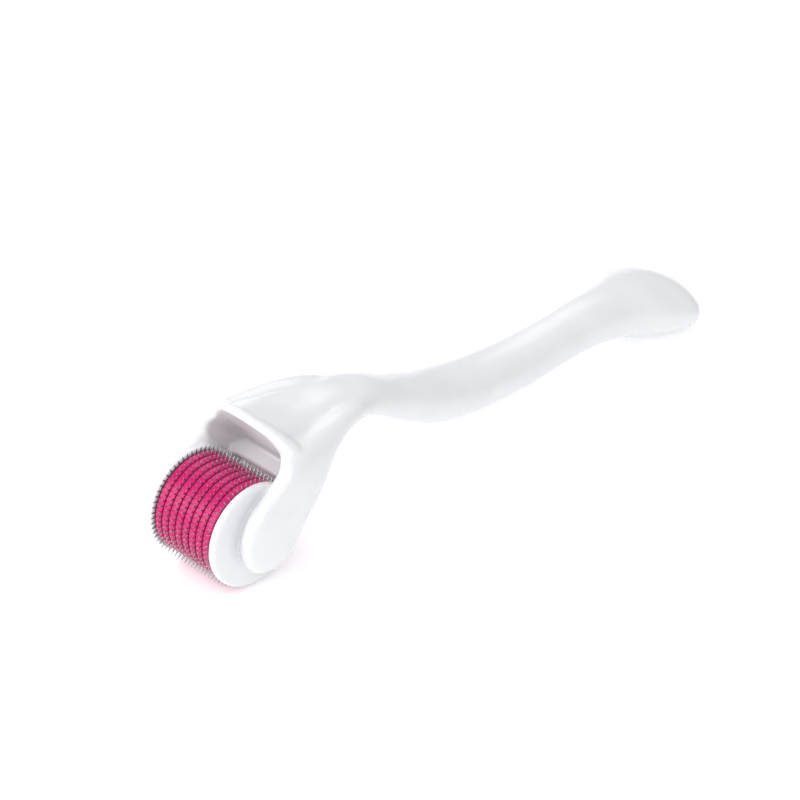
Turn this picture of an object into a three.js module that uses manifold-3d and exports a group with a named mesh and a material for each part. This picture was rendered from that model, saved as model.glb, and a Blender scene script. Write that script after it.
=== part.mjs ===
// Derma roller: a needle drum that spins freely in a forked, one-piece moulded handle.
// Units are millimetres. +X runs from the drum to the handle's tail, +Y is the drum's axis, +Z is up.
// The roller stands on its needle tips and on the flat under the tail, both at Z = 0.
import * as THREE from 'three'
import { mergeVertices } from 'three/addons/utils/BufferGeometryUtils.js'
import Module from 'manifold-3d'

const wasm = await Module()
wasm.setup()

// ---- driving sizes --------------------------------------------------------------------------
const needleTipRadius = 11.2
const drumRadius = 10
const needleDiscCount = 9
const teethPerDisc = 60
const discPitch = 1.87
const needleDiscThickness = 0.3

const flangeRadius = 10.5
const flangeInnerY = 7.8
const flangeOuterY = 9.4
const tailEndX = 120.2

// ---- sizes that follow from them ------------------------------------------------------------
const spacerThickness = discPitch - needleDiscThickness
const stackHalfLength = (needleDiscCount - 1) / 2 * discPitch + needleDiscThickness / 2
const needleRootRadius = drumRadius - 0.15
const toothHalfAngle = 0.22 * (2 * Math.PI / teethPerDisc)
const coreRadius = 6
const clearance = 0.05
const capThickness = 0.3
const capRadius = drumRadius - 0.5
const capEndY = stackHalfLength + capThickness
const recessRadius = capRadius + 0.2
const recessFloorY = capEndY + 0.25
const axleRadius = 1.5
const axleEndY = 10.4
const bushingRadius = 2.6
const bushingWall = bushingRadius - axleRadius - clearance
const bushingLength = 2.4
const bushingStartY = recessFloorY

// The handle is drawn with the axle at the origin, then tipped about it until the tail meets the ground,
// where a small flat is cut for it to rest on.
const restTiltDegrees = 2.7
const groundZ = -needleTipRadius

// ---- materials ------------------------------------------------------------------------------
function plastic (name, color, roughness) {
  return new THREE.MeshStandardMaterial({ name, color, roughness, metalness: 0 })
}
function steel (name, color, roughness) {
  return new THREE.MeshStandardMaterial({ name, color, roughness, metalness: 1 })
}
const whiteGloss = () => plastic('white_gloss_plastic', 0xe9ecef, 0.22)
const pinkGloss = () => plastic('pink_gloss_plastic', 0xe0287a, 0.25)
const bearingPlastic = () => plastic('bearing_plastic', 0xd9dadb, 0.45)
const needleSteel = () => steel('needle_steel', 0xb9bec4, 0.25)
const axleSteel = () => steel('axle_steel', 0xa9adb2, 0.3)

// ---- solid helpers --------------------------------------------------------------------------
function toSolid (geometry) {
  let plain = geometry.clone()
  plain.deleteAttribute('normal')
  plain.deleteAttribute('uv')
  plain = mergeVertices(plain, 1e-4)
  const vertProperties = new Float32Array(plain.attributes.position.array)
  const triVerts = new Uint32Array(plain.index.array)
  return new wasm.Manifold(new wasm.Mesh({ numProp: 3, vertProperties, triVerts }))
}

function toMesh (solid, name, material) {
  const mesh = solid.getMesh()
  const geometry = new THREE.BufferGeometry()
  geometry.setAttribute('position', new THREE.BufferAttribute(mesh.vertProperties, 3))
  geometry.setIndex(new THREE.BufferAttribute(mesh.triVerts, 1))
  geometry.computeVertexNormals()
  const node = new THREE.Mesh(geometry, material)
  node.name = name
  return node
}

// A body of revolution about the Y axis from [radius, y] corners that close on themselves.
function turned (corners, segments) {
  const profile = [...corners, corners[0]].map(([radius, y]) => new THREE.Vector2(radius, y))
  return toSolid(new THREE.LatheGeometry(profile, segments))
}

// A ring between two radii and two positions along the axis.
function ring (innerRadius, outerRadius, startY, endY, segments) {
  const corners = [[innerRadius, startY], [outerRadius, startY], [outerRadius, endY], [innerRadius, endY]]
  return turned(corners, segments)
}

// A plain cylinder along the Y axis.
function rod (radius, startY, endY, segments) {
  const profile = [[0, startY], [radius, startY], [radius, endY], [0, endY]]
  return toSolid(new THREE.LatheGeometry(profile.map(([r, y]) => new THREE.Vector2(r, y)), segments))
}

// Rows of numbers are read as stations of a smooth curve; this gives the row at any place along them.
function between (rows, place) {
  const last = rows.length - 1
  const index = Math.min(Math.floor(place), last - 1)
  const f = place - index
  const before = rows[Math.max(index - 1, 0)]
  const after = rows[Math.min(index + 2, last)]
  return rows[index].map((start, column) => {
    const end = rows[index + 1][column]
    const slopeIn = (end - before[column]) / 2
    const slopeOut = (after[column] - start) / 2
    const bend = 3 * (end - start) - 2 * slopeIn - slopeOut
    return start + f * (slopeIn + f * (bend + f * (slopeIn + slopeOut - 2 * (end - start))))
  })
}

// A closed body through a list of outlines that all have the same number of points.
function loft (outlines) {
  const around = outlines[0].length
  const points = outlines.flat()
  const triangles = []
  for (let row = 0; row < outlines.length - 1; row++) {
    for (let i = 0; i < around; i++) {
      const a = row * around + i
      const b = row * around + (i + 1) % around
      triangles.push(a, b, a + around, b, b + around, a + around)
    }
  }
  for (const [row, flip] of [[0, true], [outlines.length - 1, false]]) {
    const hub = points.length
    const middle = outlines[row].reduce((sum, p) => sum.add(p), new THREE.Vector3())
    points.push(middle.divideScalar(around))
    for (let i = 0; i < around; i++) {
      const a = row * around + i
      const b = row * around + (i + 1) % around
      triangles.push(hub, flip ? b : a, flip ? a : b)
    }
  }
  const geometry = new THREE.BufferGeometry()
  geometry.setFromPoints(points)
  geometry.setIndex(triangles)
  return toSolid(geometry)
}

// A rounded section: a circle squared up a little by its power, as [across, up] in the range -1 to 1.
function roundedUnit (angle, power) {
  const c = Math.cos(angle)
  const s = Math.sin(angle)
  return [Math.sign(c) * Math.abs(c) ** (2 / power), Math.sign(s) * Math.abs(s) ** (2 / power)]
}

// ---- handle: one loft from the fork to the tail -------------------------------------------------
// Stations: x, height of the centreline, half width, rise to the top, drop to the underside, and the
// depth of the dish in the top, which is below zero where the top is crowned.
const handleStations = [
  [26, 13.2, 8.0, 3.0, 1.5, 0.4],
  [34, 10.8, 6.7, 4.3, 1.9, 0.1],
  [43, 6.7, 6.3, 4.5, 3.7, 0],
  [53, 3.2, 6.9, 4.4, 4.9, 0],
  [64, 1.2, 6.5, 4.2, 4.7, 0],
  [76, 0.6, 5.8, 4.1, 4.5, 0],
  [87, 1.1, 5.3, 4.1, 4.3, 0],
  [96, 1.7, 5.7, 4.0, 4.7, 0],
  [104, 1.4, 7.4, 3.6, 5.6, -0.2],
  [110, 0.7, 10.2, 3.2, 6.1, -0.6],
  [115, -0.2, 11.6, 2.9, 5.8, -0.9]
]
const handleSteps = 24
const handlePoints = 20
const tailSteps = 6
const tailDroopSlope = -0.28

// An outline square to a centreline that climbs at the given slope.
function handleOutline ([x, z, halfWidth, rise, drop, dish], slope, power) {
  const tilt = Math.atan(slope)
  const outline = []
  for (let i = 0; i < handlePoints; i++) {
    const [across, up] = roundedUnit(2 * Math.PI * i / handlePoints, power)
    const height = up > 0 ? rise * up - dish * (1 - across * across) ** 2 : drop * up
    const back = height * Math.sin(tilt)
    outline.push(new THREE.Vector3(x - back, halfWidth * across, z + height * Math.cos(tilt)))
  }
  return outline
}

function handleShaft () {
  const outlines = []
  const lastPlace = handleStations.length - 1
  for (let step = 0; step <= handleSteps; step++) {
    const place = lastPlace * step / handleSteps
    const [x0, z0] = between(handleStations, Math.max(place - 0.05, 0))
    const [x1, z1] = between(handleStations, Math.min(place + 0.05, lastPlace))
    outlines.push(handleOutline(between(handleStations, place), (z1 - z0) / (x1 - x0), 2.3))
  }
  // The tail's end is half an ellipse in plan and rounds off in thickness too.
  const [startX, startZ, halfWidth, rise, drop, dish] = handleStations[lastPlace]
  for (let step = 1; step <= tailSteps; step++) {
    const turn = 0.47 * Math.PI * step / tailSteps
    const along = (tailEndX - startX) * Math.sin(turn)
    const narrow = Math.cos(turn) ** 0.8
    const thin = narrow ** 0.45
    const height = startZ + tailDroopSlope * along
    const station = [startX + along, height, halfWidth * narrow, rise * thin, drop * thin, dish * narrow]
    outlines.push(handleOutline(station, tailDroopSlope, 2.3))
  }
  return loft(outlines)
}

// ---- fork: two arms, the bridge over the drum and a flange disc on each side --------------------
// Arm stations: front edge x and z, rear edge x and z, middle |y| and half thickness across.
const armStations = [
  [1.0, -7.2, 3.6, -7.4, 10.7, 1.0],
  [-3.0, -5.6, 5.2, -5.4, 11.3, 1.9],
  [-4.9, -2.2, 6.8, -3.4, 11.7, 2.3],
  [-5.1, 2.2, 8.0, -1.2, 11.9, 2.4],
  [-2.9, 6.4, 9.6, 1.2, 12.0, 2.4],
  [1.2, 9.6, 12.0, 4.0, 12.0, 2.4],
  [4.6, 12.2, 14.8, 7.8, 11.7, 2.5],
  [6.2, 14.6, 17.8, 11.0, 10.8, 2.6],
  [11.5, 15.7, 20.8, 12.2, 9.5, 2.6],
  [20.0, 16.2, 24.8, 12.8, 8.0, 2.4],
  [28.0, 15.4, 29.6, 12.0, 6.2, 2.2],
  [35.0, 13.0, 34.5, 9.4, 4.2, 1.8]
]
const armSteps = 22
const armPoints = 14
const armSink = 0.5

function arm (side) {
  const outlines = []
  for (let step = 0; step <= armSteps; step++) {
    const place = (armStations.length - 1) * step / armSteps
    const [frontX, frontZ, rearX, rearZ, y, halfThickness] = between(armStations, place)
    const outline = []
    for (let i = 0; i < armPoints; i++) {
      const [across, out] = roundedUnit(2 * Math.PI * i / armPoints, 2.5)
      const share = (1 + across) / 2
      const x = frontX + (rearX - frontX) * share
      const z = frontZ + (rearZ - frontZ) * share
      const depth = out < 0 ? halfThickness + armSink : halfThickness
      outline.push(new THREE.Vector3(x, side * (y + depth * out), z))
    }
    outlines.push(side > 0 ? outline : outline.reverse())
  }
  return loft(outlines)
}

// Bridge stations, laid out like the handle's.
const bridgeStations = [
  [2.0, 12.5, 9.8, 9.0, 2.0, 0.0],
  [8.0, 12.5, 10.0, 7.5, 1.5, 0.5],
  [14.0, 12.6, 9.6, 6.1, 1.3, 0.9],
  [20.0, 12.8, 8.9, 4.9, 1.5, 0.8],
  [27.0, 12.6, 7.8, 4.1, 1.6, 0.4],
  [34.0, 10.9, 6.6, 4.2, 2.4, 0.1]
]
const bridgeSteps = 10

function bridge () {
  const outlines = []
  for (let step = 0; step <= bridgeSteps; step++) {
    const station = between(bridgeStations, (bridgeStations.length - 1) * step / bridgeSteps)
    outlines.push(handleOutline(station, 0, 2))
  }
  return loft(outlines)
}

// The bridge's front face curves back on both sides.
const lipFrontX = 3.2
const lipCurve = 0.043
const lipReach = 14

function lipCutter () {
  const shape = new THREE.Shape()
  shape.moveTo(-30, -lipReach)
  for (let y = -lipReach; y <= lipReach; y += 2) shape.lineTo(lipFrontX + lipCurve * y * y, y)
  shape.lineTo(-30, lipReach)
  const geometry = new THREE.ExtrudeGeometry(shape, { depth: 20, bevelEnabled: false })
  geometry.translate(0, 0, 8)
  return toSolid(geometry)
}

// A rounded bead runs along the bridge's front edge and leaves a crease behind it.
// Stations from one end to the middle: x, |y|, z and radius.
const beadStations = [
  [10.2, 10.9, 12.2, 2.2],
  [8.5, 9.4, 15.3, 1.8],
  [6.6, 6.3, 18.4, 1.2],
  [5.2, 3, 20, 0.95],
  [4.8, 0, 20.5, 0.9]
]
const beadSteps = 24
const beadPoints = 12

function bead () {
  const mirrored = beadStations.slice(0, -1).reverse().map(([x, y, z, radius]) => [x, -y, z, radius])
  const stations = [...beadStations, ...mirrored]
  const last = stations.length - 1
  const outlines = []
  for (let step = 0; step <= beadSteps; step++) {
    const place = last * step / beadSteps
    const [x, y, z, radius] = between(stations, place)
    const behind = new THREE.Vector3(...between(stations, Math.max(place - 0.05, 0)))
    const ahead = new THREE.Vector3(...between(stations, Math.min(place + 0.05, last)))
    const along = ahead.sub(behind).normalize()
    const side = new THREE.Vector3(0, 0, 1).cross(along).normalize()
    const up = along.clone().cross(side)
    const outline = []
    for (let i = 0; i < beadPoints; i++) {
      const angle = 2 * Math.PI * i / beadPoints
      const point = new THREE.Vector3(x, y, z)
      point.addScaledVector(side, radius * Math.cos(angle)).addScaledVector(up, radius * Math.sin(angle))
      outline.push(point)
    }
    outlines.push(outline)
  }
  return loft(outlines)
}

// Behind the drum the arms are joined by a thin guard. Stations: height, middle x, half length, half width.
const guardStations = [
  [0.3, 7.0, 7.8, 10.4],
  [4.0, 7.8, 8.0, 10.6],
  [8.0, 9.6, 8.5, 10.6],
  [13.0, 13.5, 9.2, 9.6]
]
const guardSteps = 6

function guard () {
  const outlines = []
  for (let step = 0; step <= guardSteps; step++) {
    const place = (guardStations.length - 1) * step / guardSteps
    const [z, x, halfLength, halfWidth] = between(guardStations, place)
    const outline = []
    for (let i = 0; i < handlePoints; i++) {
      const [along, across] = roundedUnit(2 * Math.PI * i / handlePoints, 2.3)
      outline.push(new THREE.Vector3(x + halfLength * along, halfWidth * across, z))
    }
    outlines.push(outline)
  }
  return loft(outlines)
}

// The drum's space is turned about the axle, and a tunnel under the bridge leads out of it, up and forward.
const spaceHalfWidth = 9.3
const spaceEdge = [[11.8, 7.6], [11.6, 8.5], [11.1, 9.1], [10.6, 9.3], [0, 9.3]]
const tunnelHalfWidth = 9.9
const tunnelStep = 10.8
const tunnelCeiling = 15.2
const tunnelCorner = 3.6
const tunnelLength = 32
const tunnelFrontEnd = -30
const tunnelAngle = THREE.MathUtils.degToRad(-53)

function drumSpace () {
  const corner = tunnelHalfWidth - tunnelCorner
  const shape = new THREE.Shape()
  shape.moveTo(-spaceHalfWidth, tunnelStep)
  shape.lineTo(-spaceHalfWidth, 0)
  shape.lineTo(spaceHalfWidth, 0)
  shape.lineTo(spaceHalfWidth, tunnelStep)
  shape.lineTo(tunnelHalfWidth, tunnelStep + 0.6)
  shape.absarc(corner, tunnelCeiling - tunnelCorner, tunnelCorner, 0, Math.PI / 2)
  shape.absarc(-corner, tunnelCeiling - tunnelCorner, tunnelCorner, Math.PI / 2, Math.PI)
  shape.lineTo(-tunnelHalfWidth, tunnelStep + 0.6)
  const settings = { depth: tunnelLength, bevelEnabled: false, curveSegments: 6 }
  const geometry = new THREE.ExtrudeGeometry(shape, settings)
  geometry.translate(0, 0, tunnelFrontEnd)
  // The outline's width lies along Y, its height across the slope and its depth along the slope.
  const along = new THREE.Vector3(Math.cos(tunnelAngle), 0, Math.sin(tunnelAngle))
  const across = new THREE.Vector3(0, 1, 0)
  const up = new THREE.Vector3(-along.z, 0, along.x)
  geometry.applyMatrix4(new THREE.Matrix4().makeBasis(across, up, along))
  const nearHalf = spaceEdge.map(([radius, y]) => new THREE.Vector2(radius, -y)).reverse()
  const farHalf = spaceEdge.map(([radius, y]) => new THREE.Vector2(radius, y))
  return toSolid(geometry).add(toSolid(new THREE.LatheGeometry([...nearHalf, ...farHalf], 48)))
}

function flange (side) {
  const round = 0.7
  const corners = [
    [0, flangeInnerY], [flangeRadius - 0.2, flangeInnerY], [flangeRadius, flangeInnerY + 0.3],
    [flangeRadius, flangeOuterY - round], [flangeRadius - 0.3 * round, flangeOuterY - 0.25 * round],
    [flangeRadius - 1.3 * round, flangeOuterY], [0, flangeOuterY]
  ]
  const profile = corners.map(([radius, y]) => new THREE.Vector2(radius, side * y))
  return toSolid(new THREE.LatheGeometry(side > 0 ? profile : profile.reverse(), 48))
}

function frame () {
  const roof = bridge().subtract(lipCutter()).add(guard())
  const upper = handleShaft().add(roof).add(arm(1)).add(arm(-1)).subtract(drumSpace())
  const ground = new THREE.BoxGeometry(60, 40, 10).translate(tailEndX, 0, groundZ - 5)
  let whole = upper.add(bead()).add(flange(1)).add(flange(-1))
  whole = whole.rotate([0, restTiltDegrees, 0]).subtract(toSolid(ground))
  // Each flange has a shallow recess for the drum's end cap and a blind bore for its bushing.
  for (const side of [1, -1]) {
    const span = (start, end) => side > 0 ? [start, end] : [-end, -start]
    whole = whole.subtract(rod(recessRadius, ...span(flangeInnerY - 1, recessFloorY), 48))
    whole = whole.subtract(rod(bushingRadius, ...span(recessFloorY - 0.5, bushingStartY + bushingLength), 32))
  }
  return whole
}

// ---- drum -----------------------------------------------------------------------------------------
const toothCorners = [
  [needleRootRadius, -toothHalfAngle],
  [needleTipRadius, 0],
  [needleRootRadius, toothHalfAngle]
]

function needleDisc (y) {
  const shape = new THREE.Shape()
  for (let tooth = 0; tooth < teethPerDisc; tooth++) {
    const middle = 2 * Math.PI * tooth / teethPerDisc
    for (const [radius, offset] of toothCorners) {
      const angle = middle + offset
      const move = tooth === 0 && offset < 0 ? 'moveTo' : 'lineTo'
      shape[move](radius * Math.cos(angle), radius * Math.sin(angle))
    }
  }
  shape.closePath()
  const hole = new THREE.Path()
  hole.absarc(0, 0, coreRadius + clearance, 0, 2 * Math.PI)
  shape.holes.push(hole)
  const settings = { depth: needleDiscThickness, bevelEnabled: false, curveSegments: 16 }
  const geometry = new THREE.ExtrudeGeometry(shape, settings)
  geometry.translate(0, 0, -needleDiscThickness / 2)
  geometry.rotateX(Math.PI / 2)
  geometry.translate(0, y, 0)
  return toSolid(geometry)
}

function bushing (side) {
  const start = side > 0 ? bushingStartY : -bushingStartY - bushingLength
  return ring(bushingRadius - bushingWall, bushingRadius, start, start + bushingLength, 32)
}

// ---- the assembly ---------------------------------------------------------------------------------
const nodes = []
nodes.push(toMesh(frame(), 'handle_frame', whiteGloss()))
nodes.push(toMesh(bushing(1), 'far_bushing', bearingPlastic()))
nodes.push(toMesh(bushing(-1), 'near_bushing', bearingPlastic()))
nodes.push(toMesh(rod(axleRadius, -axleEndY, axleEndY, 24), 'axle_pin', axleSteel()))

const drumBore = axleRadius + clearance
const core = ring(drumBore, coreRadius, -stackHalfLength, stackHalfLength, 32)
const farCap = ring(drumBore, capRadius, stackHalfLength, capEndY, 32)
const nearCap = ring(drumBore, capRadius, -capEndY, -stackHalfLength, 32)
nodes.push(toMesh(core, 'drum_core', pinkGloss()))
nodes.push(toMesh(farCap, 'far_end_cap', pinkGloss()))
nodes.push(toMesh(nearCap, 'near_end_cap', pinkGloss()))

for (let i = 0; i < needleDiscCount; i++) {
  const y = (i - (needleDiscCount - 1) / 2) * discPitch
  nodes.push(toMesh(needleDisc(y), `needle_disc_${i + 1}`, needleSteel()))
  if (i === needleDiscCount - 1) continue
  const start = y + needleDiscThickness / 2
  const spacer = ring(coreRadius + clearance, drumRadius, start, start + spacerThickness, 40)
  nodes.push(toMesh(spacer, `spacer_ring_${i + 1}`, pinkGloss()))
}

// The origin is on the ground, below the middle of the object's length.
const group = new THREE.Group()
group.name = 'derma_roller'
group.add(...nodes)
const box = new THREE.Box3().setFromObject(group)
const centreX = (box.min.x + box.max.x) / 2
for (const node of nodes) node.geometry.translate(-centreX, 0, -groundZ)

export default group
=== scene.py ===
"""The looks of a derma roller: a glossy white moulded fork and handle with a pink needle drum.

The handle's shape tables are in millimetres in the drawn frame: the axle is at the origin, +X runs to the
handle's tail, +Y is the drum's axis and +Z is up. placed() tips that frame onto the ground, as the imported
part is, and turns it into metres. The bushings and all that turns are drawn straight in the row frame.
"""
import math

import bpy
import numpy as np
from mathutils import Matrix, Vector


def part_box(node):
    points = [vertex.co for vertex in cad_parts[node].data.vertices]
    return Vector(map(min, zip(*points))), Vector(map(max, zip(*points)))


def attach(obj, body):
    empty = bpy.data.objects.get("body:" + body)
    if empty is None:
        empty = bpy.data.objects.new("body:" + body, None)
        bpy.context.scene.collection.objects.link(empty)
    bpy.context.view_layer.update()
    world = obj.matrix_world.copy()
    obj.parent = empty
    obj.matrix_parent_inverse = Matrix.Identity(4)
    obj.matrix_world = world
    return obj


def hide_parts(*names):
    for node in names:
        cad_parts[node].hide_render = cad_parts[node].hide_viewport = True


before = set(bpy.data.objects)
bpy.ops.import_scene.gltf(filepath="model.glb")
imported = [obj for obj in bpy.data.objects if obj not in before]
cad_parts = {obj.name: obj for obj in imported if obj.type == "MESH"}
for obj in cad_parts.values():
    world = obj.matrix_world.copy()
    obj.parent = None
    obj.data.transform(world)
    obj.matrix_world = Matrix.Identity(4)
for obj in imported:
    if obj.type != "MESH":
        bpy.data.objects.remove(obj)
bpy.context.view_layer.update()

# ---- driving sizes -------------------------------------------------------------------------------
MM = 0.001
REST_TILT = math.radians(2.7)

# The drum. Lengths are in millimetres. Each needle starts below the groove's floor, by the sink, and its
# shoulder is a share of the way from the drum's surface to its tip.
NEEDLES_PER_DISC = 60
NEEDLE_RADIUS = 0.2
NEEDLE_SIDES = 8
NEEDLE_FLATNESS = 0.8
NEEDLE_SINK = 0.25
NEEDLE_SHOULDER = 0.6
DISC_HALF_SHARE = 0.4
DISC_SEGMENTS = 120
GROOVE_WIDTH = 0.26
GROOVE_DEPTH = 0.35
SPACER_EDGE = 0.09
SPACER_SEGMENTS = 180
CORE_EDGE = 0.2
CORE_SEGMENTS = 96
CAP_EDGE = 0.1
CAP_SEGMENTS = 144
AXLE_RADIUS = 1.5
CLEARANCE = 0.05

# Handle stations: x, height of the centreline, half width, rise to the top, drop to the underside, and
# the depth of the dish in the top, which is below zero where the top is crowned.
HANDLE = [
    (26, 13.2, 8.0, 3.0, 1.5, 0.4),
    (34, 10.8, 6.7, 4.3, 1.9, 0.1),
    (43, 6.7, 6.3, 4.5, 3.7, 0.0),
    (53, 3.2, 6.9, 4.4, 4.9, 0.0),
    (64, 1.2, 6.5, 4.2, 4.7, 0.0),
    (76, 0.6, 5.8, 4.1, 4.5, 0.0),
    (87, 1.1, 5.3, 4.1, 4.3, 0.0),
    (96, 1.7, 5.7, 4.0, 4.7, 0.0),
    (104, 1.4, 7.4, 3.6, 5.6, -0.2),
    (110, 0.7, 10.2, 3.2, 6.1, -0.6),
    (115, -0.2, 11.6, 2.9, 5.8, -0.9),
]
HANDLE_STEPS = 120
HANDLE_POWER = 2.3
HANDLE_SLOPE_STEP = 0.05

# The tail's end is rounded off through a little less than a quarter turn, in width and in thickness.
TAIL_END_X = 120.2
TAIL_DROOP = -0.28
TAIL_STEPS = 24
TAIL_TURN = 0.49 * math.pi
TAIL_NARROWING = 0.8
TAIL_THINNING = 0.45

# Bridge stations, laid out like the handle's.
BRIDGE = [
    (2, 12.5, 9.8, 9.0, 2.0, 0.0),
    (8, 12.5, 10.0, 7.5, 1.5, 0.5),
    (14, 12.6, 9.6, 6.1, 1.3, 0.9),
    (20, 12.8, 8.9, 4.9, 1.5, 0.8),
    (27, 12.6, 7.8, 4.1, 1.6, 0.4),
    (34, 10.9, 6.6, 4.2, 2.4, 0.1),
]
BRIDGE_STEPS = 40
BRIDGE_POWER = 2

# Arm stations: front edge x and z, rear edge x and z, middle |y| and half thickness across.
ARM = [
    (1.0, -7.2, 3.6, -7.4, 10.7, 1.0),
    (-3.0, -5.6, 5.2, -5.4, 11.3, 1.9),
    (-4.9, -2.2, 6.8, -3.4, 11.7, 2.3),
    (-5.1, 2.2, 8.0, -1.2, 11.9, 2.4),
    (-2.9, 6.4, 9.6, 1.2, 12.0, 2.4),
    (1.2, 9.6, 12.0, 4.0, 12.0, 2.4),
    (4.6, 12.2, 14.8, 7.8, 11.7, 2.5),
    (6.2, 14.6, 17.8, 11.0, 10.8, 2.6),
    (11.5, 15.7, 20.8, 12.2, 9.5, 2.6),
    (20.0, 16.2, 24.8, 12.8, 8.0, 2.4),
    (28.0, 15.4, 29.6, 12.0, 6.2, 2.2),
    (35.0, 13.0, 34.5, 9.4, 4.2, 1.8),
]
ARM_STEPS = 90
ARM_POWER = 2.5
ARM_SINK = 0.5

# Guard stations: height, middle x, half length, half width.
GUARD = [
    (0.3, 7.0, 7.8, 10.4),
    (4.0, 7.8, 8.0, 10.6),
    (8.0, 9.6, 8.5, 10.6),
    (13.0, 13.5, 9.2, 9.6),
]
GUARD_STEPS = 24
GUARD_POWER = 2.3

# The bridge's front face curves back on both sides. All in front of it is cut away, out to the reach.
LIP_FRONT_X = 3.2
LIP_CURVE = 0.043
LIP_REACH = 14
LIP_POINTS = 57
LIP_CUT_X = -30
LIP_CUT_HEIGHTS = (8, 28)

# Bead stations from one end to the middle: x, |y|, z and radius.
BEAD = [
    (10.2, 10.9, 12.2, 2.2),
    (8.5, 9.4, 15.3, 1.8),
    (6.6, 6.3, 18.4, 1.2),
    (5.2, 3.0, 20.0, 0.95),
    (4.8, 0.0, 20.5, 0.9),
]
BEAD_STEPS = 72
BEAD_POINTS = 28
BEAD_SLOPE_STEP = 0.02

# The drum's space, with the edge of its profile as radius and y, and the tunnel out of it. The tunnel's
# step and ceiling are distances from the axle, square to its slope, and its ends are places along it.
SPACE_HALF_WIDTH = 9.3
SPACE_EDGE = [(11.8, 7.6), (11.6, 8.5), (11.1, 9.1), (10.6, 9.3), (0, 9.3)]
SPACE_SEGMENTS = 144
TUNNEL_HALF_WIDTH = 9.9
TUNNEL_STEP = 10.8
TUNNEL_LEAD_IN = 0.6
TUNNEL_CEILING = 15.2
TUNNEL_CORNER = 3.6
TUNNEL_CORNER_POINTS = 13
TUNNEL_ANGLE = math.radians(-53)
TUNNEL_ENDS = (-30, 2)

# The flanges, with a recess in each for an end cap and a blind bore for a bushing. Each cut starts short
# of the face it goes into, by its overcut. The bevel is in radius and in y.
FLANGE_RADIUS = 10.5
FLANGE_INNER_Y = 7.8
FLANGE_OUTER_Y = 9.4
FLANGE_EDGE = 0.7
FLANGE_EDGE_POINTS = 9
FLANGE_BEVEL = (0.2, 0.3)
FLANGE_SEGMENTS = 192
RECESS_RADIUS = 9.7
RECESS_FLOOR_Y = 8.18
RECESS_OVERCUT = 1
BUSHING_RADIUS = 2.6
BUSHING_END_Y = 10.6
BUSHING_OVERCUT = 0.5
BUSHING_EDGE = 0.15
BUSHING_SEGMENTS = 64
ROD_SEGMENTS = 144

# Face size and rounds of smoothing: for the joined arms and shaft, then the lip, then the whole handle.
BLEND_VOXEL, BLEND_ROUNDS = 0.5, 130
LIP_VOXEL, LIP_ROUNDS = 0.35, 40
FINISH_VOXEL, FINISH_ROUNDS = 0.26, 4
# How far one round of smoothing pulls in, and how many times that it then pushes out.
RELAX_PULL = 0.6
RELAX_PUSH = 1.03


# ---- mesh helpers --------------------------------------------------------------------------------
def new_piece(name, points, faces):
    """A smooth-shaded mesh object in the scene."""
    mesh = bpy.data.meshes.new(name)
    mesh.from_pydata([tuple(p) for p in points], [], faces)
    mesh.validate()
    mesh.shade_smooth()
    piece = bpy.data.objects.new(name, mesh)
    bpy.context.scene.collection.objects.link(piece)
    return piece


def between(rows, place):
    """The row at any place along a list of stations, read as a smooth curve."""
    rows = np.asarray(rows, float)
    last = len(rows) - 1
    index = min(int(place), last - 1)
    f = place - index
    start, end = rows[index], rows[index + 1]
    slope_in = (end - rows[max(index - 1, 0)]) / 2
    slope_out = (rows[min(index + 2, last)] - start) / 2
    bend = 3 * (end - start) - 2 * slope_in - slope_out
    return start + f * (slope_in + f * (bend + f * (slope_in + slope_out - 2 * (end - start))))


def rounded_unit(points, power):
    """A circle squared up a little by its power, as two columns in the range -1 to 1."""
    angle = 2 * np.pi * np.arange(points) / points
    circle = np.stack([np.cos(angle), np.sin(angle)], 1)
    return np.sign(circle) * np.abs(circle) ** (2 / power)


def loft(name, outlines):
    """A closed body through outlines that all have the same number of points."""
    around = len(outlines[0])
    points = [p for outline in outlines for p in outline]
    faces = []
    for row in range(len(outlines) - 1):
        for i in range(around):
            a = row * around + i
            b = row * around + (i + 1) % around
            faces.append((a, b, b + around, a + around))
    faces.append(tuple(reversed(range(around))))
    faces.append(tuple(range(len(points) - around, len(points))))
    return new_piece(name, points, faces)


def turned(name, profile, segments, centre=(0, 0, 0)):
    """A body of revolution about the Y axis from [radius, y] corners that close on themselves."""
    points, faces = [], []
    for i in range(segments):
        angle = 2 * math.pi * i / segments
        for radius, y in profile:
            x, z = radius * math.cos(angle), radius * math.sin(angle)
            points.append((centre[0] + x, centre[1] + y, centre[2] + z))
    count = len(profile)
    for i in range(segments):
        for j in range(count):
            a = i * count + j
            b = i * count + (j + 1) % count
            ahead = (i + 1) % segments * count
            faces.append((a, b, ahead + (j + 1) % count, ahead + j))
    return new_piece(name, points, faces)


def solid_of_revolution(name, profile, segments):
    """Turned about Y like turned(), but from a profile that starts and ends on the axis."""
    angles = 2 * np.pi * np.arange(segments) / segments
    rows = []
    for radius, y in profile[1:-1]:
        rows.append(np.stack([radius * np.sin(angles), np.full(segments, y), radius * np.cos(angles)], 1))
    return loft(name, rows)


def combine(target, other, operation):
    """Joins another body to the target or cuts it away, and removes the other body."""
    step = target.modifiers.new("combine", "BOOLEAN")
    step.object = other
    step.operation = operation
    step.solver = "MANIFOLD"
    apply_all(target)
    bpy.data.objects.remove(other)


def apply_all(piece):
    """Applies the piece's modifiers to its mesh."""
    bpy.context.view_layer.update()
    evaluated = piece.evaluated_get(bpy.context.evaluated_depsgraph_get())
    finished = bpy.data.meshes.new_from_object(evaluated)
    piece.modifiers.clear()
    piece.data = finished


def even_out(piece, voxel):
    """Rebuilds the surface from even small faces, which also joins the bodies in it."""
    step = piece.modifiers.new("even", "REMESH")
    step.mode = "VOXEL"
    step.voxel_size = voxel
    apply_all(piece)


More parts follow.
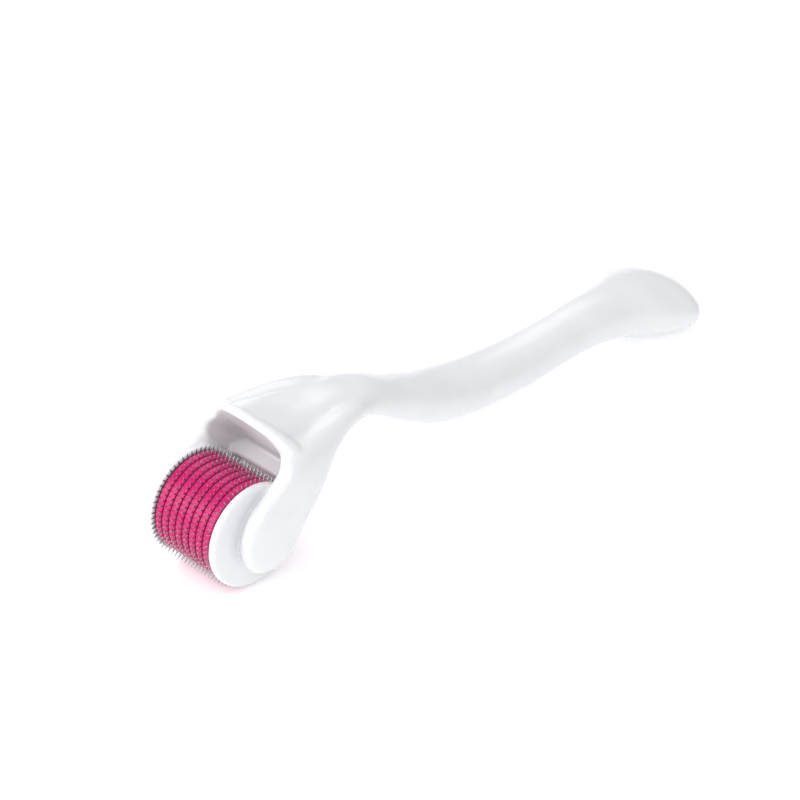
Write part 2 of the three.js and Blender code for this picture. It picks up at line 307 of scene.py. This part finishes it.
def relax(piece, rounds):
    """Rounds off edges and fills creases without shrinking the body: each round pulls in, then pushes out."""
    mesh = piece.data
    count = len(mesh.vertices)
    points = np.zeros(count * 3)
    mesh.vertices.foreach_get("co", points)
    points = points.reshape(-1, 3)
    ends = np.zeros(len(mesh.edges) * 2, int)
    mesh.edges.foreach_get("vertices", ends)
    a, b = ends.reshape(-1, 2).T
    links = np.maximum(np.bincount(ends, minlength=count), 1)
    for _ in range(rounds):
        for pull in (RELAX_PULL, -RELAX_PUSH * RELAX_PULL):
            middle = np.stack([
                (np.bincount(a, points[b, k], count) + np.bincount(b, points[a, k], count)) / links
                for k in range(3)
            ], 1)
            points = points + pull * (middle - points)
    mesh.vertices.foreach_set("co", points.ravel())
    mesh.update()


# ---- the handle's bodies, in the drawn frame -------------------------------------------------------
OUTLINE_POINTS = 72


def handle_outline(station, slope, power):
    """An outline square to a centreline that climbs at the given slope."""
    x, z, half_width, rise, drop, dish = station
    tilt = math.atan(slope)
    across, up = rounded_unit(OUTLINE_POINTS, power).T
    height = np.where(up > 0, rise * up - dish * (1 - across ** 2) ** 2, drop * up)
    return np.stack([x - height * math.sin(tilt), half_width * across, z + height * math.cos(tilt)], 1)


def handle_shaft():
    """The neck, grip and tail, swept along the handle's stations."""
    last = len(HANDLE) - 1
    outlines = []
    for step in range(HANDLE_STEPS + 1):
        place = last * step / HANDLE_STEPS
        before = between(HANDLE, max(place - HANDLE_SLOPE_STEP, 0))
        after = between(HANDLE, min(place + HANDLE_SLOPE_STEP, last))
        slope = (after[1] - before[1]) / (after[0] - before[0])
        outlines.append(handle_outline(between(HANDLE, place), slope, HANDLE_POWER))
    start_x, start_z, half_width, rise, drop, dish = HANDLE[-1]
    for step in range(1, TAIL_STEPS + 1):
        turn = TAIL_TURN * step / TAIL_STEPS
        along = (TAIL_END_X - start_x) * math.sin(turn)
        narrow = math.cos(turn) ** TAIL_NARROWING
        thin = narrow ** TAIL_THINNING
        station = (
            start_x + along, start_z + TAIL_DROOP * along,
            half_width * narrow, rise * thin, drop * thin, dish * narrow,
        )
        outlines.append(handle_outline(station, TAIL_DROOP, HANDLE_POWER))
    return loft("shaft", outlines)


def bridge():
    """The roof between the arms, with its front face cut to the lip's curve."""
    last = len(BRIDGE) - 1
    outlines = []
    for step in range(BRIDGE_STEPS + 1):
        outlines.append(handle_outline(between(BRIDGE, last * step / BRIDGE_STEPS), 0, BRIDGE_POWER))
    body = loft("bridge", outlines)
    across = np.linspace(-LIP_REACH, LIP_REACH, LIP_POINTS)
    front = [(LIP_FRONT_X + LIP_CURVE * y * y, y) for y in across]
    plan = [(LIP_CUT_X, -LIP_REACH), *front, (LIP_CUT_X, LIP_REACH)]
    cutter = loft("lip_cutter", [[(x, y, z) for x, y in plan] for z in LIP_CUT_HEIGHTS])
    combine(body, cutter, "DIFFERENCE")
    return body


def arm(side):
    """One arm of the fork, from its flange up and back into the neck; side is 1 or -1."""
    last = len(ARM) - 1
    section = rounded_unit(OUTLINE_POINTS, ARM_POWER)
    outlines = []
    for step in range(ARM_STEPS + 1):
        front_x, front_z, rear_x, rear_z, y, half = between(ARM, last * step / ARM_STEPS)
        share = (1 + section[:, 0]) / 2
        depth = np.where(section[:, 1] < 0, half + ARM_SINK, half)
        outline = np.stack([
            front_x + (rear_x - front_x) * share,
            side * (y + depth * section[:, 1]),
            front_z + (rear_z - front_z) * share,
        ], 1)
        outlines.append(outline if side > 0 else outline[::-1])
    return loft("arm", outlines)


def guard():
    """The wall that joins the arms behind the drum."""
    last = len(GUARD) - 1
    section = rounded_unit(OUTLINE_POINTS, GUARD_POWER)
    outlines = []
    for step in range(GUARD_STEPS + 1):
        z, x, half_length, half_width = between(GUARD, last * step / GUARD_STEPS)
        level = np.full(OUTLINE_POINTS, z)
        outlines.append(np.stack([x + half_length * section[:, 0], half_width * section[:, 1], level], 1))
    return loft("guard", outlines)


def drum_space():
    """The room round the drum, and the tunnel that leads from it up and forward under the bridge."""
    corner_y = TUNNEL_HALF_WIDTH - TUNNEL_CORNER
    corner_z = TUNNEL_CEILING - TUNNEL_CORNER
    turns = np.linspace(0, math.pi / 2, TUNNEL_CORNER_POINTS)
    corner = [(corner_y + TUNNEL_CORNER * math.cos(t), corner_z + TUNNEL_CORNER * math.sin(t)) for t in turns]
    widening = [(SPACE_HALF_WIDTH, TUNNEL_STEP), (TUNNEL_HALF_WIDTH, TUNNEL_STEP + TUNNEL_LEAD_IN)]
    right = [(SPACE_HALF_WIDTH, 0), *widening, *corner]
    outline = right + [(-y, z) for y, z in reversed(right)]
    along = Vector((math.cos(TUNNEL_ANGLE), 0, math.sin(TUNNEL_ANGLE)))
    up = Vector((-along.z, 0, along.x))
    ends = [
        [Vector((0, y, 0)) + up * z + along * place for y, z in outline]
        for place in TUNNEL_ENDS
    ]
    tunnel = loft("tunnel", ends)
    near = [(radius, -y) for radius, y in reversed(SPACE_EDGE)]
    space = solid_of_revolution("space", near + SPACE_EDGE, SPACE_SEGMENTS)
    combine(space, tunnel, "UNION")
    return space


def bead():
    """A rounded rim along the bridge's front edge, which leaves a crease behind it."""
    path = BEAD + [(x, -y, z, radius) for x, y, z, radius in reversed(BEAD[:-1])]
    last = len(path) - 1
    outlines = []
    for step in range(BEAD_STEPS + 1):
        place = last * step / BEAD_STEPS
        *middle, radius = between(path, place)
        behind = between(path, max(place - BEAD_SLOPE_STEP, 0))
        ahead = between(path, min(place + BEAD_SLOPE_STEP, last))
        along = Vector((ahead - behind)[:3]).normalized()
        side = Vector((0, 0, 1)).cross(along).normalized()
        up = along.cross(side)
        outlines.append([
            Vector(middle) + (side * math.cos(t) + up * math.sin(t)) * float(radius)
            for t in np.linspace(0, 2 * math.pi, BEAD_POINTS, endpoint=False)
        ])
    return loft("bead", outlines)


def flange(side):
    """A round side plate with a softly rounded outer edge."""
    corner_radius = FLANGE_RADIUS - FLANGE_EDGE
    corner_y = FLANGE_OUTER_Y - FLANGE_EDGE
    turns = np.linspace(0, math.pi / 2, FLANGE_EDGE_POINTS)
    edge = [(corner_radius + FLANGE_EDGE * math.cos(t), corner_y + FLANGE_EDGE * math.sin(t)) for t in turns]
    bevel, rise = FLANGE_BEVEL
    inner = [(FLANGE_RADIUS - bevel, FLANGE_INNER_Y), (FLANGE_RADIUS, FLANGE_INNER_Y + rise)]
    profile = [(0, FLANGE_INNER_Y), *inner, *edge, (0, FLANGE_OUTER_Y)]
    profile = [(radius, side * y) for radius, y in profile]
    return solid_of_revolution("flange", profile if side > 0 else profile[::-1], FLANGE_SEGMENTS)


def plain_rod(radius, start, end):
    """A round bar along Y, used as a cutter."""
    profile = [(0, start), (radius, start), (radius, end), (0, end)]
    return solid_of_revolution("rod", profile, ROD_SEGMENTS)


def placed(piece, axle):
    """From the drawn frame to the row frame: tipped about the axle onto the ground, in metres."""
    tip = Matrix.Rotation(REST_TILT, 4, "Y")
    piece.data.transform(Matrix.Translation(axle) @ tip @ Matrix.Scale(MM, 4))
    for vertex in piece.data.vertices:
        vertex.co.z = max(vertex.co.z, 0.0)


def handle_body(axle):
    """The whole moulding: its bodies joined and smoothed, then the drum's space, rim and flanges."""
    body = handle_shaft()
    combine(body, bridge(), "UNION")
    combine(body, guard(), "UNION")
    for side in (1, -1):
        combine(body, arm(side), "UNION")
    even_out(body, BLEND_VOXEL)
    relax(body, BLEND_ROUNDS)
    combine(body, drum_space(), "DIFFERENCE")
    combine(body, bead(), "UNION")
    even_out(body, LIP_VOXEL)
    relax(body, LIP_ROUNDS)
    for side in (1, -1):
        combine(body, flange(side), "UNION")
    even_out(body, FINISH_VOXEL)
    relax(body, FINISH_ROUNDS)
    for side in (1, -1):
        start, end = sorted((side * (FLANGE_INNER_Y - RECESS_OVERCUT), side * RECESS_FLOOR_Y))
        combine(body, plain_rod(RECESS_RADIUS, start, end), "DIFFERENCE")
        start, end = sorted((side * (RECESS_FLOOR_Y - BUSHING_OVERCUT), side * BUSHING_END_Y))
        combine(body, plain_rod(BUSHING_RADIUS, start, end), "DIFFERENCE")
    body.name = "handle_moulding"
    placed(body, axle)
    body.data.shade_smooth()
    return body


# ---- the bushings and the turning parts, in the row frame ------------------------------------------
def rounded_ring(name, node, inner, edge, segments):
    """A ring with rounded rims in the place and size of a CAD node, inner radius and edge in metres."""
    low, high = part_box(node)
    centre = (low + high) / 2
    outer = (high.z - low.z) / 2
    half = (high.y - low.y) / 2
    profile = []
    for radius, y, start in ((outer, half, 0), (inner, half, 90), (inner, -half, 180), (outer, -half, 270)):
        corner = Vector((radius + (edge if radius == inner else -edge), y - math.copysign(edge, y)))
        for turn in range(4):
            angle = math.radians(start + 30 * turn)
            profile.append((corner.x + edge * math.cos(angle), corner.y + edge * math.sin(angle)))
    return turned(name, profile, segments, centre)


def needle_disc(name, node):
    """A thin steel ring with slender pointed needles standing on its rim."""
    low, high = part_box(node)
    centre = (low + high) / 2
    tip = (high.x - low.x) / 2
    spacer_low, spacer_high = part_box("spacer_ring_1")
    drum = (spacer_high.x - spacer_low.x) / 2
    core_low, core_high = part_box("drum_core")
    bore = (core_high.x - core_low.x) / 2 + CLEARANCE * MM
    rim = drum - GROOVE_DEPTH * MM
    half = DISC_HALF_SHARE * (high.y - low.y)
    disc = turned(name, [(bore, -half), (rim, -half), (rim, half), (bore, half)], DISC_SEGMENTS, centre)
    points = [v.co.copy() for v in disc.data.vertices]
    faces = [tuple(p.vertices) for p in disc.data.polygons]
    bpy.data.objects.remove(disc)
    root = rim - NEEDLE_SINK * MM
    shoulder = drum + NEEDLE_SHOULDER * (tip - drum)
    # Each level's distance from the axle and share of the full width: a shank, a taper and a ground point.
    levels = [(root, 1.0), (drum, 0.98), (shoulder, 0.68), (tip, 0.12)]
    sides = NEEDLE_SIDES
    for needle in range(NEEDLES_PER_DISC):
        turn = 2 * math.pi * needle / NEEDLES_PER_DISC
        out = Vector((math.cos(turn), 0, math.sin(turn)))
        around = Vector((-math.sin(turn), 0, math.cos(turn)))
        first = len(points)
        for radius, width in levels:
            for i in range(sides):
                angle = 2 * math.pi * i / sides
                offset = around * math.cos(angle) + Vector((0, NEEDLE_FLATNESS, 0)) * math.sin(angle)
                points.append(centre + out * radius + offset * (NEEDLE_RADIUS * MM * width))
        for level in range(len(levels) - 1):
            for i in range(sides):
                a = first + level * sides + i
                b = first + level * sides + (i + 1) % sides
                faces.append((a, a + sides, b + sides, b))
        top = first + (len(levels) - 1) * sides
        faces.append(tuple(reversed(range(top, top + sides))))
        faces.append(tuple(range(first, first + sides)))
    return new_piece(name, points, faces)


def spacer_ring(name, node):
    """A pink ring between two needle discs, a little wider than its CAD node so that the groove is fine."""
    low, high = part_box(node)
    centre = (low + high) / 2
    outer = (high.x - low.x) / 2
    core_low, core_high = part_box("drum_core")
    bore = (core_high.x - core_low.x) / 2 + CLEARANCE * MM
    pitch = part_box("needle_disc_2")[0].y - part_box("needle_disc_1")[0].y
    half = (pitch - GROOVE_WIDTH * MM) / 2
    edge = SPACER_EDGE * MM
    corner = outer - edge
    turns = [math.radians(a) for a in (0, 30, 60, 90)]
    rim = [(corner + edge * math.cos(t), half - edge + edge * math.sin(t)) for t in turns]
    profile = [(bore, -half), *[(r, -y) for r, y in reversed(rim)], *rim, (bore, half)]
    return turned(name, profile, SPACER_SEGMENTS, centre)


# ---- materials -------------------------------------------------------------------------------------
class Nodes:
    """Short calls for building a material's node tree."""

    def __init__(self, name):
        self.material = bpy.data.materials.new(name)
        self.material.use_nodes = True
        self.tree = self.material.node_tree
        self.shader = next(n for n in self.tree.nodes if n.type == "BSDF_PRINCIPLED")

    def link(self, output, target):
        self.tree.links.new(output, target)

    def set(self, **values):
        for key, value in values.items():
            self.shader.inputs[key.replace("_", " ")].default_value = value

    def noise(self, scale, detail=3.0, roughness=0.5, stretch=(1, 1, 1)):
        """Solid noise in object space; scale is in features per metre."""
        coordinates = self.tree.nodes.new("ShaderNodeTexCoord")
        mapping = self.tree.nodes.new("ShaderNodeMapping")
        mapping.inputs["Scale"].default_value = stretch
        noise = self.tree.nodes.new("ShaderNodeTexNoise")
        noise.inputs["Scale"].default_value = scale
        noise.inputs["Detail"].default_value = detail
        noise.inputs["Roughness"].default_value = roughness
        self.link(coordinates.outputs["Object"], mapping.inputs["Vector"])
        self.link(mapping.outputs["Vector"], noise.inputs["Vector"])
        return noise.outputs["Fac"]

    def ramp(self, value, low, high):
        """Turns a noise value into a number between low and high."""
        spread = self.tree.nodes.new("ShaderNodeMapRange")
        spread.inputs["From Min"].default_value = 0.3
        spread.inputs["From Max"].default_value = 0.7
        spread.inputs["To Min"].default_value = low
        spread.inputs["To Max"].default_value = high
        self.link(value, spread.inputs["Value"])
        return spread.outputs["Result"]

    def colour(self, value, first, second):
        """The base colour goes between two colours by a value from 0 to 1."""
        mix = self.tree.nodes.new("ShaderNodeMix")
        mix.data_type = "RGBA"
        first_socket, second_socket = [s for s in mix.inputs if s.type == "RGBA"]
        first_socket.default_value = (*first, 1)
        second_socket.default_value = (*second, 1)
        self.link(value, mix.inputs[0])
        result = next(s for s in mix.outputs if s.type == "RGBA")
        self.link(result, self.shader.inputs["Base Color"])

    def bump(self, value, depth, strength):
        bump = self.tree.nodes.new("ShaderNodeBump")
        bump.inputs["Distance"].default_value = depth
        bump.inputs["Strength"].default_value = strength
        self.link(value, bump.inputs["Height"])
        self.link(bump.outputs["Normal"], self.shader.inputs["Normal"])


def white_plastic():
    """Glossy white ABS: a faint cool mottling, a slight orange peel and a little depth under the skin."""
    n = Nodes("white_plastic")
    n.colour(n.ramp(n.noise(160, 4), 0, 1), (0.745, 0.753, 0.772), (0.785, 0.79, 0.806))
    n.link(n.ramp(n.noise(420, 5), 0.17, 0.27), n.shader.inputs["Roughness"])
    n.bump(n.noise(900, 3), 0.00004, 0.12)
    n.set(Subsurface_Weight=0.12, Subsurface_Scale=0.0015, Coat_Weight=0.25, Coat_Roughness=0.12, IOR=1.5)
    n.shader.inputs["Subsurface Radius"].default_value = (1.0, 0.95, 0.9)
    return n.material


def pink_plastic():
    """Translucent-looking magenta plastic with fine turning marks round the drum."""
    n = Nodes("pink_plastic")
    marks = n.noise(2500, 3, 0.6, stretch=(0.15, 1, 0.15))
    n.colour(n.ramp(n.noise(700, 4), 0, 1), (0.50, 0.003, 0.11), (0.59, 0.006, 0.155))
    n.link(n.ramp(marks, 0.20, 0.34), n.shader.inputs["Roughness"])
    n.bump(marks, 0.00003, 0.2)
    n.set(Subsurface_Weight=0.15, Subsurface_Scale=0.0008, IOR=1.4, Coat_Weight=0.02, Coat_Roughness=0.15)
    n.shader.inputs["Subsurface Radius"].default_value = (1.0, 0.2, 0.4)
    return n.material


def needle_steel():
    """Bright ground steel with streaks along the grind."""
    n = Nodes("needle_steel")
    grind = n.noise(9000, 3, 0.6, stretch=(1, 0.2, 1))
    n.colour(n.ramp(n.noise(3000, 3), 0, 1), (0.26, 0.26, 0.28), (0.46, 0.46, 0.49))
    n.link(n.ramp(grind, 0.18, 0.36), n.shader.inputs["Roughness"])
    n.bump(grind, 0.00001, 0.2)
    n.set(Metallic=1.0)
    return n.material


def axle_steel():
    """Plain turned steel with fine marks round the pin."""
    n = Nodes("axle_steel")
    marks = n.noise(4000, 3, 0.6, stretch=(0.1, 1, 0.1))
    n.colour(n.ramp(n.noise(900, 3), 0, 1), (0.45, 0.46, 0.47), (0.60, 0.61, 0.62))
    n.link(n.ramp(marks, 0.25, 0.42), n.shader.inputs["Roughness"])
    n.bump(marks, 0.00002, 0.25)
    n.set(Metallic=1.0)
    return n.material


def bearing_plastic():
    """Satin acetal, a touch warmer than the handle."""
    n = Nodes("bearing_plastic")
    grain = n.noise(1500, 4)
    n.colour(n.ramp(grain, 0, 1), (0.68, 0.68, 0.67), (0.76, 0.76, 0.75))
    n.link(n.ramp(n.noise(2600, 4), 0.38, 0.52), n.shader.inputs["Roughness"])
    n.bump(grain, 0.00003, 0.2)
    n.set(IOR=1.48)
    return n.material


def floor_material():
    """Pale, slightly glossy sheet with a little light coming through it, as on a light table."""
    n = Nodes("floor_sheet")
    n.colour(n.ramp(n.noise(30, 3), 0, 1), (0.93, 0.93, 0.935), (0.95, 0.95, 0.955))
    n.link(n.ramp(n.noise(90, 3), 0.30, 0.36), n.shader.inputs["Roughness"])
    n.set(IOR=1.4, Emission_Color=(1, 1, 1, 1), Emission_Strength=0.26)
    return n.material


MATERIALS = {
    "white_plastic": white_plastic(),
    "pink_plastic": pink_plastic(),
    "needle_steel": needle_steel(),
    "axle_steel": axle_steel(),
    "bearing_plastic": bearing_plastic(),
}


def finish_piece(piece, node, body, slot):
    """Gives a piece its material, hangs it on the body it rides on and hides the CAD node it stands for."""
    piece.data.materials.clear()
    piece.data.materials.append(MATERIALS[slot])
    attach(piece, body)
    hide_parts(node)


# ---- the assembly ----------------------------------------------------------------------------------
pin_low, pin_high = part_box("axle_pin")
axle_centre = (pin_low + pin_high) / 2

finish_piece(handle_body(axle_centre), "handle_frame", "handle", "white_plastic")

pin_bore = (AXLE_RADIUS + CLEARANCE) * MM
for side in ("near", "far"):
    ring_name, node = f"{side}_bushing_ring", f"{side}_bushing"
    bushing = rounded_ring(ring_name, node, pin_bore, BUSHING_EDGE * MM, BUSHING_SEGMENTS)
    finish_piece(bushing, node, "handle", "bearing_plastic")
    cap = rounded_ring(f"{side}_cap_ring", f"{side}_end_cap", pin_bore, CAP_EDGE * MM, CAP_SEGMENTS)
    finish_piece(cap, f"{side}_end_cap", "roller", "pink_plastic")

core = rounded_ring("core_tube", "drum_core", pin_bore, CORE_EDGE * MM, CORE_SEGMENTS)
finish_piece(core, "drum_core", "roller", "pink_plastic")

disc_nodes = sorted(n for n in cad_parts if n.startswith("needle_disc_"))
for node in disc_nodes:
    finish_piece(needle_disc(node.replace("disc", "ring"), node), node, "roller", "needle_steel")
spacer_nodes = sorted(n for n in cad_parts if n.startswith("spacer_ring_"))
for node in spacer_nodes:
    finish_piece(spacer_ring(node.replace("ring", "band"), node), node, "roller", "pink_plastic")

# The axle pin keeps its CAD mesh and only gets its material.
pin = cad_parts["axle_pin"]
pin.data.materials.clear()
pin.data.materials.append(MATERIALS["axle_steel"])

# ---- floor, light and camera -----------------------------------------------------------------------
HALF_FLOOR = 2.5
corners = [(x * HALF_FLOOR, y * HALF_FLOOR, 0) for x, y in ((-1, -1), (1, -1), (1, 1), (-1, 1))]
floor = new_piece("floor", corners, [(0, 1, 2, 3)])
floor.data.materials.append(floor_material())


def softbox(name, place, aim, size, power):
    """A rectangular lamp at a place, turned to face its aim; metres and watts."""
    lamp = bpy.data.lights.new(name, "AREA")
    lamp.shape = "RECTANGLE"
    lamp.size, lamp.size_y = size
    lamp.energy = power
    light = bpy.data.objects.new(name, lamp)
    light.location = place
    light.rotation_euler = (Vector(aim) - Vector(place)).to_track_quat("-Z", "Y").to_euler()
    bpy.context.scene.collection.objects.link(light)


softbox("top_softbox", (-0.48, 0.14, 0.66), (-0.05, 0, 0.02), (0.4, 0.4), 2.0)
softbox("far_softbox", (-0.62, 0.53, 0.31), (-0.05, 0, 0.01), (0.5, 0.5), 2.0)
softbox("near_softbox", (-0.52, -0.56, 0.50), (0, 0, 0.01), (0.6, 0.6), 1.75)
softbox("back_softbox", (0.35, 0.7, 0.6), (0, 0, 0.01), (0.8, 0.4), 1.0)

world = bpy.data.worlds.new("studio")
world.use_nodes = True
world.node_tree.nodes["Background"].inputs["Color"].default_value = (0.97, 0.98, 1.0, 1)
world.node_tree.nodes["Background"].inputs["Strength"].default_value = 0.72
bpy.context.scene.world = world
bpy.context.scene.view_settings.view_transform = "Standard"

# The camera stands off the drum's near side and looks down on it. It is set in the drawn frame, so it is
# tipped with the handle. The aim is in millimetres and the distance in metres.
CAMERA_TURN = math.radians(43.49)
CAMERA_RISE = math.radians(32.74)
CAMERA_DISTANCE = 0.9
CAMERA_AIM = Vector((31.9, -14.3, 18.0)) * MM
CAMERA_SENSOR = 36
CAMERA_LENS = 218.5
right = Vector((math.cos(CAMERA_TURN), -math.sin(CAMERA_TURN), 0))
level = Vector((math.sin(CAMERA_TURN), math.cos(CAMERA_TURN), 0))
back = Vector((0, 0, 1)) * math.sin(CAMERA_RISE) - level * math.cos(CAMERA_RISE)
up = back.cross(right)
tip = Matrix.Rotation(REST_TILT, 4, "Y")
lens = bpy.data.cameras.new("camera")
lens.sensor_width = CAMERA_SENSOR
lens.lens = CAMERA_LENS
lens.clip_start, lens.clip_end = 0.05, 20
camera = bpy.data.objects.new("camera", lens)
axes = Matrix((right, up, back)).transposed().to_4x4()
camera.matrix_world = (
    Matrix.Translation(axle_centre) @ tip @ Matrix.Translation(CAMERA_AIM + back * CAMERA_DISTANCE) @ axes
)
bpy.context.scene.collection.objects.link(camera)
bpy.context.scene.camera = camera
